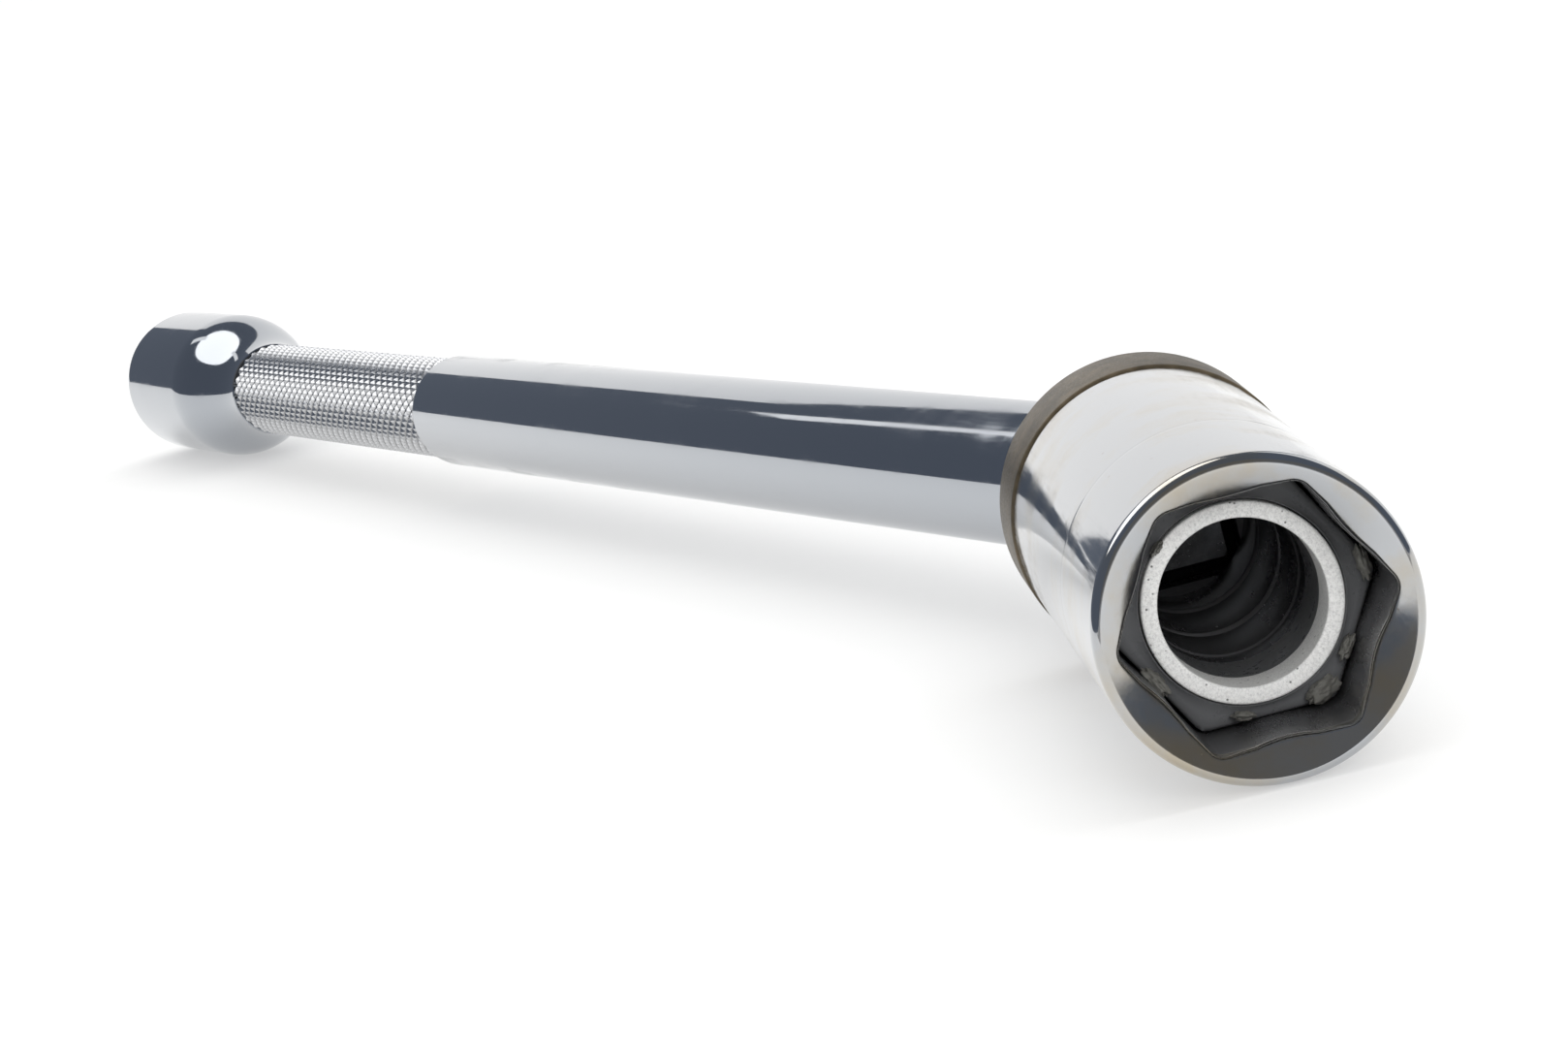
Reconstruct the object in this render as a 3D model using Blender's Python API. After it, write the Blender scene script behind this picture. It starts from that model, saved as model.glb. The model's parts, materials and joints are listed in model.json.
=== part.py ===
# Flex-head breaker bar with a deep hex socket on its square drive.
# Lengths below are millimetres; MM turns them into Blender's metres.
# Two frames meet at the pivot: the head frame has +X towards the socket's
# mouth, the handle frame has +X towards the end knob.
import math

import bmesh
import bpy
from mathutils import Matrix, Vector

MM = 0.001

# layout
BEND = 17.54             # degrees between the head and the handle as it lies
LEAN = 1.578             # degrees the tool leans so that the knob touches down
AXIS_HEIGHT = 14.5       # socket axis above the table
SHIFT_X, SHIFT_Y = 144.727, 56.463

# yoke and pivot
EAR_HALF_WIDTH = 8.6
YOKE_HALF_HEIGHT = 10.5
SLOT_HALF = 6.85
SLOT_ROOT = 9.2
PIVOT_HOLE_R = 3.25
PIVOT_R = 3.2
SPIGOT_R = 5.6
SPIGOT_END = 59.0

# handle, distances measured from the pivot
TUBE_R, TUBE_BORE_R = 7.7, 5.85
TUBE_START, TUBE_END = 14.0, 232.0
GRIP_R = 7.05
GRIP_START, GRIP_END = 232.3, 334.0
KNOB_R = 11.3
KNOB_START, KNOB_END = 334.3, 395.6
FLARE_END = 357.3
CORE_R = 5.6
CORE_START, CORE_END = 60.0, 386.5
ROLL_PIN_AT, ROLL_PIN_R = 32.0, 1.5

# square drive
SQUARE_HALF = 6.35
SOCKET_SQUARE_HALF = 6.45
EYE_R = 8.4
TANG_END = 24.0
BALL_AT = 17.0
BALL_R = 2.5
BALL_PROUD = 0.07

# socket
SOCKET_REAR, SOCKET_FRONT = 9.0, 89.0
BODY_R = 14.3
BAND_R, JOURNAL_R = 14.5, 13.1
BAND_WIDTH = 12.0
HEX_HALF = 10.75
HEX_CORNER_R = 1.2
HEX_FLOOR = 65.0
WELL_R = 7.4
MOUTH_R = 13.4
SQUARE_DEPTH = 25.5
MAGNET_FRONT = 78.5
MAGNET_R = 8.9


def material(name, colour, metallic, roughness):
    mat = bpy.data.materials.new(name)
    mat.use_nodes = True
    shader = mat.node_tree.nodes["Principled BSDF"]
    shader.inputs["Base Color"].default_value = (*colour, 1.0)
    shader.inputs["Metallic"].default_value = metallic
    shader.inputs["Roughness"].default_value = roughness
    return mat


def add_object(name, bm, parent, mat=None):
    bmesh.ops.recalc_face_normals(bm, faces=bm.faces)
    bmesh.ops.scale(bm, vec=(MM, MM, MM), verts=bm.verts)
    mesh = bpy.data.meshes.new(name)
    bm.to_mesh(mesh)
    bm.free()
    obj = bpy.data.objects.new(name, mesh)
    bpy.context.scene.collection.objects.link(obj)
    obj.parent = parent
    if mat:
        mesh.materials.append(mat)
    return obj


def rings_to_faces(bm, rings, closed_loop):
    count = len(rings)
    steps = count if closed_loop else count - 1
    for i in range(steps):
        near, far = rings[i], rings[(i + 1) % count]
        sides = max(len(near), len(far))
        for k in range(sides):
            j = (k + 1) % sides
            if len(near) == 1:
                bm.faces.new((near[0], far[j], far[k]))
            elif len(far) == 1:
                bm.faces.new((near[k], near[j], far[0]))
            else:
                bm.faces.new((near[k], near[j], far[j], far[k]))


def turned(profile, segments=64, ring=False, twist=0.0):
    """Solid of revolution about X from (x, radius) points; ring closes the profile.

    twist turns the facets by a share of one segment, so that a cutter's edges
    never fall on the edges of the piece it cuts.
    """
    bm = bmesh.new()
    rings = []
    for x, radius in profile:
        if radius == 0:
            rings.append([bm.verts.new((x, 0, 0))])
            continue
        circle = []
        for k in range(segments):
            angle = 2 * math.pi * (k + twist) / segments
            circle.append(bm.verts.new((x, radius * math.cos(angle), radius * math.sin(angle))))
        rings.append(circle)
    rings_to_faces(bm, rings, ring)
    return bm


def tube_profile(start, end, outer, inner, edge=0.3):
    return [(start, inner), (start, outer - edge), (start + edge, outer),
            (end - edge, outer), (end, outer - edge), (end, inner)]


def plug_profile(start, end, radius, edge=0.3):
    return [(start, 0), (start, radius - edge), (start + edge, radius),
            (end - edge, radius), (end, radius - edge), (end, 0)]


def prism(outline, low, high, axis="Z"):
    """Outline of (a, b) points pushed along an axis from low to high."""
    place = {"X": lambda a, b, t: (t, a, b),
             "Y": lambda a, b, t: (a, t, b),
             "Z": lambda a, b, t: (a, b, t)}[axis]
    bm = bmesh.new()
    bottom = [bm.verts.new(place(a, b, low)) for a, b in outline]
    top = [bm.verts.new(place(a, b, high)) for a, b in outline]
    bm.faces.new(bottom)
    bm.faces.new(top)
    for k in range(len(outline)):
        j = (k + 1) % len(outline)
        bm.faces.new((bottom[k], bottom[j], top[j], top[k]))
    return bm


def arc(cx, cy, radius, start, end, steps):
    points = []
    for k in range(steps + 1):
        angle = math.radians(start + (end - start) * k / steps)
        points.append((cx + radius * math.cos(angle), cy + radius * math.sin(angle)))
    return points


def rectangle(half_a, half_b):
    return [(-half_a, -half_b), (half_a, -half_b), (half_a, half_b), (-half_a, half_b)]


def hexagon(half_flats, corner_r, steps=3, phase=0):
    """Hexagon with rounded corners; the first corner lies along the first axis."""
    centre = (half_flats - corner_r) / math.cos(math.radians(30))
    points = []
    for k in range(6):
        angle = 60 * k + phase
        cx = centre * math.cos(math.radians(angle))
        cy = centre * math.sin(math.radians(angle))
        points += arc(cx, cy, corner_r, angle - 30, angle + 30, steps)
    return points


def stand_up(bm):
    """Turn a piece made along X so that it runs along Z."""
    bmesh.ops.transform(bm, matrix=Matrix.Rotation(-math.pi / 2, 4, "Y"), verts=bm.verts)
    return bm


def along_y(bm):
    bmesh.ops.transform(bm, matrix=Matrix.Rotation(math.pi / 2, 4, "Z"), verts=bm.verts)
    return bm


def moved(bm, x=0, y=0, z=0):
    bmesh.ops.translate(bm, vec=(x, y, z), verts=bm.verts)
    return bm


def boolean(obj, bm, operation="DIFFERENCE"):
    """Add a live Boolean; its cutter stays in the scene as a hidden wire shape."""
    label = obj.name + "_cut_" + str(len(obj.modifiers))
    cutter = add_object(label, bm, obj.parent)
    cutter.hide_render = True
    cutter.display_type = "WIRE"
    mod = obj.modifiers.new(operation.title(), "BOOLEAN")
    mod.operation = operation
    mod.solver = "EXACT"
    mod.object = cutter


def smooth(obj, degrees=35):
    for face in obj.data.polygons:
        face.use_smooth = True
    obj.data.set_sharp_from_angle(angle=math.radians(degrees))


def ball(radius, rings=8, segments=18):
    profile = [(-radius, 0)]
    for k in range(1, rings):
        angle = math.pi * k / rings
        profile.append((-radius * math.cos(angle), radius * math.sin(angle)))
    profile.append((radius, 0))
    return turned(profile, segments)


def coil(length, mean_r, wire_r, turns, sides=5, per_turn=12):
    """Compression spring along X from 0 to length, both wire ends closed."""
    bm = bmesh.new()
    rings = []
    run = length - 2 * wire_r
    steps = int(turns * per_turn)
    for k in range(steps + 1):
        t = 2 * math.pi * turns * k / steps
        centre = Vector((wire_r + run * k / steps, mean_r * math.cos(t), mean_r * math.sin(t)))
        outward = Vector((0, math.cos(t), math.sin(t)))
        rings.append([bm.verts.new(centre + wire_r * (outward * math.cos(a) + Vector((1, 0, 0)) * math.sin(a)))
                      for a in (2 * math.pi * s / sides for s in range(sides))])
    rings_to_faces(bm, rings, False)
    bm.faces.new(rings[0])
    bm.faces.new(rings[-1])
    return bm


def frame_empty(name, parent, matrix):
    empty = bpy.data.objects.new(name, None)
    empty.empty_display_size = 0.01
    bpy.context.scene.collection.objects.link(empty)
    empty.parent = parent
    empty.matrix_local = matrix
    return empty


def build_handle(handle, mats):
    yoke_profile = [(-9.2, 0), (-9.2, 9.0), (-7.9, YOKE_HALF_HEIGHT), (8.6, YOKE_HALF_HEIGHT), (10.2, 10.1),
                    (11.6, 9.1), (12.8, 8.1), (13.5, TUBE_R), (13.8, TUBE_R - 0.15),
                    (13.8, SPIGOT_R), (SPIGOT_END - 0.8, SPIGOT_R), (SPIGOT_END, 4.8), (SPIGOT_END, 0)]
    yoke = add_object("yoke", turned(yoke_profile, 48, twist=0.5), handle, mats["chrome"])
    plan = arc(0, 0, EAR_HALF_WIDTH, 90, 270, 25) + [(64, -EAR_HALF_WIDTH), (64, EAR_HALF_WIDTH)]
    boolean(yoke, prism(plan, -14, 14), "INTERSECT")
    boolean(yoke, prism([(-20, -20), (SLOT_ROOT, -20), (SLOT_ROOT, 20), (-20, 20)], -SLOT_HALF, SLOT_HALF))
    boolean(yoke, stand_up(turned([(-15, 0), (-15, PIVOT_HOLE_R), (7.9, PIVOT_HOLE_R), (7.9, 4.9),
                                   (15, 4.9), (15, 0)], 32, twist=0.27)))
    boolean(yoke, stand_up(turned([(-15, 0), (-15, 5.2), (-7.9, 5.2), (-7.9, 0)], 32, twist=0.4)))
    boolean(yoke, turned([(8.0, 0), (8.0, 2.15), (21.0, 2.15), (21.0, 0)], 20, twist=0.3))
    boolean(yoke, moved(stand_up(turned([(-9, 0), (-9, 1.6), (9, 1.6), (9, 0)], 16, twist=0.3)), x=ROLL_PIN_AT))
    smooth(yoke)

    pivot_screw = add_object("pivot_screw", stand_up(turned(
        [(-9.6, 0), (-9.6, 2.7), (-9.1, PIVOT_R), (8.0, PIVOT_R), (8.0, 4.6),
         (9.3, 4.6), (9.7, 4.2), (9.7, 0)], 32)), handle, mats["dark_steel"])
    boolean(pivot_screw, prism(hexagon(2.0, 0.1, 1), 8.4, 12.5))
    smooth(pivot_screw)

    pivot_nut = add_object("pivot_nut", prism(hexagon(4.3, 0.2, 1), -9.7, -8.1), handle, mats["dark_steel"])
    boolean(pivot_nut, stand_up(turned([(-13, 0), (-13, 3.3), (-7, 3.3), (-7, 0)], 32)))

    for name, side in (("pivot_washer_upper", 1), ("pivot_washer_lower", -1)):
        low, high = sorted((side * 6.41, side * 6.79))
        washer = add_object(name, stand_up(turned([(low, 3.35), (low, 7.6), (high, 7.6), (high, 3.35)], 40, True)),
                            handle, mats["washer"])
        smooth(washer)

    plunger_ball = add_object("plunger_ball", ball(2.0), handle, mats["bright_steel"])
    plunger_ball.location.x = 10.47 * MM
    smooth(plunger_ball, 60)
    plunger_spring = add_object("plunger_spring", coil(8.2, 1.65, 0.26, 4.5), handle, mats["spring"])
    plunger_spring.location.x = 12.6 * MM
    smooth(plunger_spring, 60)

    roll_pin = add_object("yoke_roll_pin", stand_up(turned(
        [(-7.4, 0.8), (-7.4, 1.25), (-7.15, ROLL_PIN_R), (7.15, ROLL_PIN_R), (7.4, 1.25), (7.4, 0.8)],
        16, True)), handle, mats["dark_steel"])
    roll_pin.location.x = ROLL_PIN_AT * MM
    smooth(roll_pin)

    shank = add_object("shank_tube", turned(
        tube_profile(TUBE_START, TUBE_END, TUBE_R, TUBE_BORE_R, 0.4), 48, True), handle, mats["chrome"])
    boolean(shank, moved(stand_up(turned([(-9, 0), (-9, 1.6), (9, 1.6), (9, 0)], 16, twist=0.3)), x=ROLL_PIN_AT))
    smooth(shank)

    core = add_object("core_bar", turned(plug_profile(CORE_START, CORE_END, CORE_R, 0.8), 40),
                      handle, mats["dark_steel"])
    boolean(core, turned([(368, 0), (368, 2.6), (390, 2.6), (390, 0)], 24))
    smooth(core)

    grip = add_object("knurled_grip", turned(
        tube_profile(GRIP_START, GRIP_END, GRIP_R, TUBE_BORE_R, 0.5), 48, True), handle, mats["knurl"])
    smooth(grip)

    shoulder = [(KNOB_START, TUBE_BORE_R)]
    for i in range(13):
        share = i / 12
        shoulder.append((KNOB_START + (FLARE_END - KNOB_START) * share,
                         GRIP_R + (KNOB_R - GRIP_R) * (1 - math.cos(math.pi * share)) / 2))
    dome_start = 386.0
    dome = [(dome_start + (KNOB_END - dome_start) * math.sin(math.radians(a)), KNOB_R * math.cos(math.radians(a)))
            for a in (0, 12, 24, 36, 47, 57)]
    tip = [(KNOB_END - 0.4, 5.4), (KNOB_END - 0.4, 4.4), (391.6, 4.4), (391.6, 2.75),
           (387.0, 2.75), (387.0, TUBE_BORE_R)]
    knob = add_object("end_knob", turned(shoulder + dome + tip, 48, True), handle, mats["chrome"])
    smooth(knob)

    knob_screw = add_object("knob_screw", turned(
        [(370, 0), (370, 2.0), (370.5, 2.5), (391.8, 2.5), (391.8, 4.2), (394.4, 4.2), (394.8, 3.8),
         (394.8, 0)], 32), handle, mats["dark_steel"])
    boolean(knob_screw, prism(hexagon(2.0, 0.1, 1), 392.6, 396, "X"))
    smooth(knob_screw)


def build_head(head, mats):
    half = SQUARE_HALF
    join = math.degrees(math.asin(half / EYE_R))
    chamfer = 1.2
    plan = [(TANG_END, half - chamfer), (TANG_END - chamfer, half)]
    plan += arc(0, 0, EYE_R, join, 360 - join, 40)
    plan += [(TANG_END - chamfer, -half), (TANG_END, -half + chamfer)]
    drive = add_object("drive_head", prism(plan, -half, half), head, mats["tang"])
    side = [(-12, -half - 3), (TANG_END - chamfer - 3, -half - 3), (TANG_END - chamfer, -half),
            (TANG_END, -half + chamfer), (TANG_END, half - chamfer), (TANG_END - chamfer, half),
            (TANG_END - chamfer - 3, half + 3), (-12, half + 3)]
    boolean(drive, prism(side, -12, 12, "Y"), "INTERSECT")
    boolean(drive, stand_up(turned([(-8, 0), (-8, PIVOT_HOLE_R), (8, PIVOT_HOLE_R), (8, 0)], 32)))
    boolean(drive, moved(along_y(turned([(-8, 0), (-8, 2.2), (-6.05, 2.2), (-6.05, 2.6), (4.0, 2.6),
                                         (4.0, 0)], 24)), x=BALL_AT))
    smooth(drive)

    detent_ball = add_object("detent_ball", ball(BALL_R), head, mats["bright_steel"])
    detent_ball.location = (BALL_AT * MM, (BALL_R - SQUARE_HALF - BALL_PROUD) * MM, 0)
    smooth(detent_ball, 60)
    spring = along_y(coil(5.2, 2.0, 0.3, 3.5))
    detent_spring = add_object("detent_spring", spring, head, mats["spring"])
    detent_spring.location = (BALL_AT * MM, -1.35 * MM, 0)
    smooth(detent_spring, 60)


def lead_in_depth(radius):
    """The rounded lead-in drops faster towards the hexagon than at the rim."""
    reach = MOUTH_R - radius
    return 0.55 * reach + 0.08 * reach * reach


def build_socket(head, mats):
    band_end = SOCKET_REAR + BAND_WIDTH
    profile = [(SOCKET_REAR, 0), (SOCKET_REAR, 12.3), (SOCKET_REAR + 0.8, JOURNAL_R),
               (band_end + 0.3, JOURNAL_R), (band_end + 0.3, 13.5), (band_end + 0.6, 14.0),
               (band_end + 1.4, BODY_R), (SOCKET_FRONT - 0.7, BODY_R), (SOCKET_FRONT - 0.2, 14.1),
               (SOCKET_FRONT, 13.6), (SOCKET_FRONT, 0)]
    socket = add_object("socket_body", turned(profile, 72), head, mats["chrome"])
    boolean(socket, prism(hexagon(HEX_HALF, HEX_CORNER_R), HEX_FLOOR, SOCKET_FRONT + 2, "X"))
    lead_in = [(SOCKET_FRONT - lead_in_depth(9.5), 0)]
    lead_in += [(SOCKET_FRONT - lead_in_depth(r), r) for r in (9.5, 10.4, 11.0, 11.6, 12.2, 12.8, MOUTH_R)]
    lead_in += [(SOCKET_FRONT + 1.0, MOUTH_R + 1.5), (SOCKET_FRONT + 1.0, 0)]
    boolean(socket, turned(lead_in, 72, twist=0.2))
    boolean(socket, turned([(SQUARE_DEPTH, 0), (SQUARE_DEPTH, WELL_R), (34, WELL_R), (34, WELL_R + 0.5),
                            (36, WELL_R + 0.5), (36, WELL_R), (48, WELL_R), (48, WELL_R + 0.5),
                            (50, WELL_R + 0.5), (50, WELL_R), (HEX_FLOOR + 3, WELL_R), (HEX_FLOOR + 3, 0)], 40, twist=0.3))
    boolean(socket, prism(rectangle(SOCKET_SQUARE_HALF, SOCKET_SQUARE_HALF), SOCKET_REAR - 3,
                          SQUARE_DEPTH + 0.5, "X"))
    smooth(socket)

    band = add_object("socket_band", turned(
        tube_profile(SOCKET_REAR, band_end, BAND_R, JOURNAL_R + 0.1, 0.3), 72, True), head, mats["band"])
    boolean(band, turned([(SOCKET_REAR - 1, 0), (SOCKET_REAR - 1, 13.5), (SOCKET_REAR + 0.9, JOURNAL_R),
                          (SOCKET_REAR + 0.9, 0)], 48))
    smooth(band)

    holder_front = MAGNET_FRONT - 0.6
    holder = add_object("magnet_holder", prism(hexagon(HEX_HALF - 0.3, HEX_CORNER_R), HEX_FLOOR + 0.1,
                                               holder_front, "X"), head, mats["holder"])
    boolean(holder, turned([(HEX_FLOOR - 1, 0), (HEX_FLOOR - 1, WELL_R), (73.0, WELL_R), (73.0, MAGNET_R + 0.12),
                            (holder_front + 1, MAGNET_R + 0.12), (holder_front + 1, 0)], 48, twist=0.3))
    smooth(holder)

    magnet = add_object("ring_magnet", turned(
        [(73.1, WELL_R), (73.1, MAGNET_R), (MAGNET_FRONT - 0.2, MAGNET_R), (MAGNET_FRONT, MAGNET_R - 0.2),
         (MAGNET_FRONT, WELL_R + 0.15), (MAGNET_FRONT - 0.15, WELL_R)], 48, True), head, mats["magnet"])
    smooth(magnet)


def main():
    for obj in list(bpy.data.objects):
        bpy.data.objects.remove(obj, do_unlink=True)
    mats = {
        "chrome": material("polished_chrome", (0.78, 0.79, 0.80), 1.0, 0.07),
        "knurl": material("chromed_knurl", (0.74, 0.75, 0.76), 1.0, 0.2),
        "tang": material("satin_chrome", (0.62, 0.63, 0.64), 1.0, 0.28),
        "dark_steel": material("dark_steel", (0.20, 0.20, 0.21), 1.0, 0.4),
        "bright_steel": material("bearing_steel", (0.70, 0.70, 0.71), 1.0, 0.12),
        "spring": material("spring_steel", (0.45, 0.45, 0.46), 1.0, 0.3),
        "washer": material("zinc_washer", (0.55, 0.56, 0.57), 1.0, 0.35),
        "band": material("taupe_band", (0.16, 0.13, 0.10), 0.0, 0.55),
        "holder": material("black_holder", (0.03, 0.03, 0.032), 0.0, 0.35),
        "magnet": material("satin_magnet", (0.50, 0.50, 0.50), 1.0, 0.45),
    }
    lean = Matrix.Rotation(math.radians(LEAN), 4, "X")
    pivot = Matrix.Translation((SHIFT_X * MM, SHIFT_Y * MM, AXIS_HEIGHT * MM))
    tool = frame_empty("tool_frame", None, pivot @ lean)
    handle = frame_empty("handle_frame", tool, Matrix.Rotation(math.radians(180 + BEND), 4, "Z"))
    head = frame_empty("head_frame", tool, Matrix.Identity(4))
    build_handle(handle, mats)
    build_head(head, mats)
    build_socket(head, mats)


main()
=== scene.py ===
import json
import math

import bpy
from mathutils import Matrix, Quaternion, Vector, noise


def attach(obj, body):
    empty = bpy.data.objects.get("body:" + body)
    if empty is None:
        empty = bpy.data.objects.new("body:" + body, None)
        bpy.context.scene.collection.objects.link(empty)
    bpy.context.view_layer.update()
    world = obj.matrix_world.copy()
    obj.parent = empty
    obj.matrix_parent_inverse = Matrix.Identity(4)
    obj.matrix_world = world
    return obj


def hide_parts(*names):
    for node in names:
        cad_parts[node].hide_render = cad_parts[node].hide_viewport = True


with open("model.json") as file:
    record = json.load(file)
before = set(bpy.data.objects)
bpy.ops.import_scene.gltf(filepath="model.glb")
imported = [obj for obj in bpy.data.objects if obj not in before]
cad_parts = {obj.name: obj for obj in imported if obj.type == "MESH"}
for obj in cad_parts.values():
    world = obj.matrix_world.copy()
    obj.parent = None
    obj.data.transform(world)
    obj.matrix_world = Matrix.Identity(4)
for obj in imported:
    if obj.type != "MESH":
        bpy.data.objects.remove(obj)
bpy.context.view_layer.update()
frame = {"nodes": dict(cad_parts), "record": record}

# Everything is drawn in millimetres in one of two frames that meet at the pivot.
# headFrame has +X towards the socket's mouth, handleFrame +X towards the knob.
joints = {j["name"]: j for j in frame["record"]["behaviour"]["joints"]}
pivotPoint = Vector(joints["head_flex"]["pos_m"])
pinAxis = Vector(joints["head_flex"]["axis"]).normalized()


def frameAlong(direction):
    x = Vector(direction).normalized()
    y = pinAxis.cross(x).normalized()
    z = x.cross(y)
    turn = Matrix((x, y, z)).transposed().to_4x4()
    return Matrix.Translation(pivotPoint) @ turn @ Matrix.Scale(0.001, 4)


headFrame = frameAlong(joints["socket_pull"]["axis"])
handleFrame = frameAlong(joints["plunger_press"]["axis"])


# helpers for shaping

def deselectAll():
    if bpy.context.object and bpy.context.object.mode != "OBJECT":
        bpy.ops.object.mode_set(mode="OBJECT")
    bpy.ops.object.select_all(action="DESELECT")


def makeActive(piece):
    deselectAll()
    piece.select_set(True)
    bpy.context.view_layer.objects.active = piece


def cleanShell(piece, threshold=0.0005):
    makeActive(piece)
    bpy.ops.object.mode_set(mode="EDIT")
    bpy.ops.mesh.select_all(action="SELECT")
    bpy.ops.mesh.remove_doubles(threshold=threshold)
    bpy.ops.mesh.normals_make_consistent(inside=False)
    bpy.ops.object.mode_set(mode="OBJECT")


def filletedLine(points, steps=5):
    # points are (x, radius, fillet); returns a plain list with the corners rounded
    line = []
    count = len(points)
    for i, (x, r, fillet) in enumerate(points):
        here = Vector((x, r))
        if fillet == 0 or i in (0, count - 1):
            line.append(here)
            continue
        before = Vector(points[i - 1][:2]) - here
        after = Vector(points[i + 1][:2]) - here
        a = here + before.normalized() * min(fillet, before.length * 0.49)
        b = here + after.normalized() * min(fillet, after.length * 0.49)
        for k in range(steps + 1):
            t = k / steps
            line.append(a * (1 - t) ** 2 + here * 2 * t * (1 - t) + b * t ** 2)
    return line


def turnPiece(name, line, steps):
    # spins a line of (x, radius) points about the X axis
    deselectAll()
    bpy.ops.mesh.primitive_plane_add(size=1, location=(0, 0, 0))
    piece = bpy.context.object
    piece.name = name
    bpy.ops.object.mode_set(mode="EDIT")
    bpy.ops.mesh.select_all(action="SELECT")
    bpy.ops.mesh.merge(type="CENTER")
    bpy.ops.transform.translate(value=(line[0][0], 0, line[0][1]))
    for near, far in zip(line, line[1:]):
        step = (far[0] - near[0], 0, far[1] - near[1])
        bpy.ops.mesh.extrude_region_move(TRANSFORM_OT_translate={"value": step})
    bpy.ops.mesh.select_all(action="SELECT")
    bpy.ops.mesh.spin(steps=steps, angle=2 * math.pi, center=(0, 0, 0), axis=(1, 0, 0))
    bpy.ops.object.mode_set(mode="OBJECT")
    cleanShell(piece)
    return piece


def shadeByAngle(piece, degrees=35):
    makeActive(piece)
    bpy.ops.object.shade_smooth_by_angle(angle=math.radians(degrees))


def settle(piece, place, body, nodes, finish, degrees=35):
    # bakes the piece's place into its mesh and hangs it on its body
    piece.data.transform(place @ piece.matrix_world)
    piece.matrix_world = Matrix.Identity(4)
    piece.data.materials.clear()
    piece.data.materials.append(finish)
    shadeByAngle(piece, degrees)
    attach(piece, body)
    if nodes:
        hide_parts(*nodes)
    return piece


def angleAround(co):
    return math.atan2(co.z, co.y)


def polygonRadius(angle, sides, halfFlats, cornerR, phase=0.0):
    # distance from the centre to a polygon with rounded corners, at this angle
    sector = 2 * math.pi / sides
    a = (angle - phase + sector / 2) % sector - sector / 2    # 0 at a corner
    toFlat = halfFlats / math.cos(sector / 2 - abs(a))
    centre = (halfFlats - cornerR) / math.cos(sector / 2)
    inside = cornerR ** 2 - (centre * math.sin(a)) ** 2
    toArc = centre * math.cos(a) + math.sqrt(max(inside, 0.0))
    edge = math.atan2(cornerR * math.sin(sector / 2), centre + cornerR * math.cos(sector / 2))
    return toArc if abs(a) < edge else toFlat


def softMax(a, b, width):
    h = max(width - abs(a - b), 0) / width
    return max(a, b) + h * h * width / 4


# materials, each named for its real finish

def hexColour(code):
    parts = [int(code[i:i + 2], 16) / 255 for i in (0, 2, 4)]
    linear = [c / 12.92 if c <= 0.04045 else ((c + 0.055) / 1.055) ** 2.4 for c in parts]
    return (*linear, 1.0)


def addNode(tree, kind, settings=None, links=None):
    # adds a node, sets its properties and inputs, and links inputs to other nodes' outputs
    node = tree.nodes.new("ShaderNode" + kind)
    for key, value in (settings or {}).items():
        if isinstance(key, str) and hasattr(node, key):
            setattr(node, key, value)
        else:
            node.inputs[key].default_value = value
    for key, source in (links or {}).items():
        tree.links.new(source, node.inputs[key])
    return node


def startMaterial(name, colour, metallic, roughness):
    mat = bpy.data.materials.new(name)
    mat.use_nodes = True
    shader = mat.node_tree.nodes["Principled BSDF"]
    shader.inputs["Base Color"].default_value = hexColour(colour)
    shader.inputs["Metallic"].default_value = metallic
    shader.inputs["Roughness"].default_value = roughness
    coords = addNode(mat.node_tree, "TexCoord").outputs["Object"]
    return mat, mat.node_tree, shader, coords


def ramp(tree, source, stops):
    node = addNode(tree, "ValToRGB", links={"Fac": source})
    while len(node.color_ramp.elements) < len(stops):
        node.color_ramp.elements.new(0.5)
    for element, (at, value) in zip(node.color_ramp.elements, stops):
        element.position = at
        element.color = value if len(value) == 4 else (*([value[0]] * 3), 1)
    return node.outputs["Color"]


def alongPiece(tree, coords, place):
    # object coordinates turned into the piece's own frame, in millimetres
    location, turn, scale = place.inverted().decompose()
    return addNode(tree, "Mapping", {"vector_type": "POINT", "Location": location,
                                     "Rotation": turn.to_euler(), "Scale": scale},
                   {"Vector": coords}).outputs["Vector"]


def boreMask(tree, mm, edge, radius):
    # 1 deep inside a mouth that opens at +X: behind the edge and inside the radius
    axes = addNode(tree, "SeparateXYZ", links={"Vector": mm}).outputs
    side = addNode(tree, "CombineXYZ", links={0: axes[1], 1: axes[2]}).outputs[0]
    away = addNode(tree, "VectorMath", {"operation": "LENGTH"}, {0: side}).outputs["Value"]
    inside = addNode(tree, "MapRange", {"From Min": radius, "From Max": radius - 0.1}, {"Value": away})
    behind = addNode(tree, "MapRange", {"From Min": edge, "From Max": edge - 0.5}, {"Value": axes[0]})
    return addNode(tree, "Math", {"operation": "MULTIPLY"},
                   {0: inside.outputs[0], 1: behind.outputs[0]}).outputs[0]


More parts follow.
